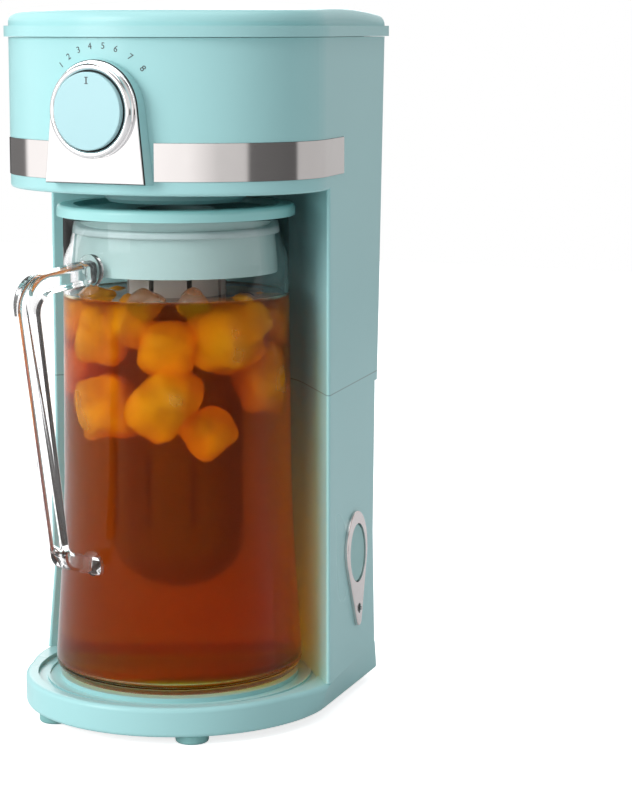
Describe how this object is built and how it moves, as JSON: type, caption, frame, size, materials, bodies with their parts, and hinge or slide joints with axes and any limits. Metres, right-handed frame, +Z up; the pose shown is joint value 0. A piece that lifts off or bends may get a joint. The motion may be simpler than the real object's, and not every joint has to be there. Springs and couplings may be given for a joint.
{
  "type": "iced tea maker",
  "caption": "Iced tea maker: brewing head with a hinged lid and a strength dial on a column, over a clear lidded pitcher on a round-fronted base.",
  "frame": {"origin": "on the table, on the pitcher's upright axis", "axes": "+Z up; the dial and the pitcher's side face -Y; the power button is on the +X flank"},
  "size_m": [0.194, 0.2556, 0.4039],
  "materials": {
    "body_plastic": "satin gloss",
    "button_plastic": "satin gloss",
    "cover_plastic": "satin gloss",
    "collar_plastic": "smooth, translucent",
    "inner_plastic": "fine moulded grain",
    "basket_plastic": "fine moulded grain",
    "filter_plastic": "smooth",
    "tank_plastic": "frosted",
    "foot_rubber": "matt",
    "seal_rubber": "matt",
    "screw_steel": "zinc plated",
    "band_steel": "polished, fine horizontal brushing",
    "trim_chrome": "bright",
    "shaft_plastic": "moulded",
    "hose_rubber": "silicone, matt",
    "heater_aluminium": "extruded",
    "switch_plastic": "moulded",
    "lamp_plastic": "clear, faint grey",
    "bezel_steel": "polished, fine brushing",
    "clear_jar": "clear, polished",
    "clear_handle": "clear, polished",
    "infuser_plastic": "smoky, smooth"
  },
  "bodies": {
    "housing": {"lower_housing": "body_plastic", "upper_housing": "body_plastic", "base_plate": "inner_plastic", "feet": "foot_rubber", "base_screws": "screw_steel", "band_left": "band_steel", "band_right": "band_steel", "dial_arch": "body_plastic", "dial_plate": "trim_chrome", "drip_boss": "body_plastic", "inner_deck": "inner_plastic", "brew_basket": "basket_plastic", "basket_filter": "filter_plastic", "reservoir": "tank_plastic", "check_valve": "shaft_plastic", "inlet_hose": "hose_rubber", "riser_hose": "hose_rubber", "heater": "heater_aluminium", "heater_strap": "screw_steel", "thermostat": "switch_plastic", "water_spout": "shaft_plastic", "hinge_pins": "screw_steel", "switch_bezel": "bezel_steel", "indicator_lens": "lamp_plastic", "switch_body": "switch_plastic", "switch_bracket": "screw_steel", "cord_gland": "foot_rubber"},
    "lid": {"top_lid": "body_plastic", "lid_liner": "inner_plastic"},
    "strength_dial": {"dial_ring": "trim_chrome", "dial_cap": "body_plastic", "dial_shaft": "shaft_plastic", "flow_vane": "shaft_plastic"},
    "button": {"power_button": "button_plastic", "switch_plunger": "shaft_plastic"},
    "pitcher": {"pitcher_jar": "clear_jar", "pitcher_handle": "clear_handle"},
    "pitcher_cover": {"pitcher_lid": "cover_plastic", "lid_collar": "collar_plastic", "lid_seal": "seal_rubber", "infuser_tube": "infuser_plastic", "infuser_cap": "infuser_plastic"}
  },
  "joints": [
    {"name": "lid_hinge", "type": "hinge", "parent": "housing", "child": "lid", "pos_m": [0, 0.13887, 0.3804], "axis": [-1, 0, 0], "range_deg": [0, 95]},
    {"name": "dial_turn", "type": "hinge", "parent": "housing", "child": "strength_dial", "pos_m": [0, -0.09, 0.3464], "axis": [0, 1, 0], "range_deg": [-52, 52]},
    {"name": "power_press", "type": "slide", "parent": "housing", "child": "button", "axis": [-0.9809, -0.1924, -0.0286], "range_m": [0, 0.002], "stiffness_N_per_m": 600},
    {"name": "pitcher_slide", "type": "slide", "parent": "housing", "child": "pitcher", "axis": [0, -1, 0], "range_m": [0, 0.23]},
    {"name": "pitcher_lid_turn", "type": "hinge", "parent": "pitcher", "child": "pitcher_cover", "pos_m": [0, 0, 0.289], "axis": [0, 0, 1], "continuous": true}
  ]
}
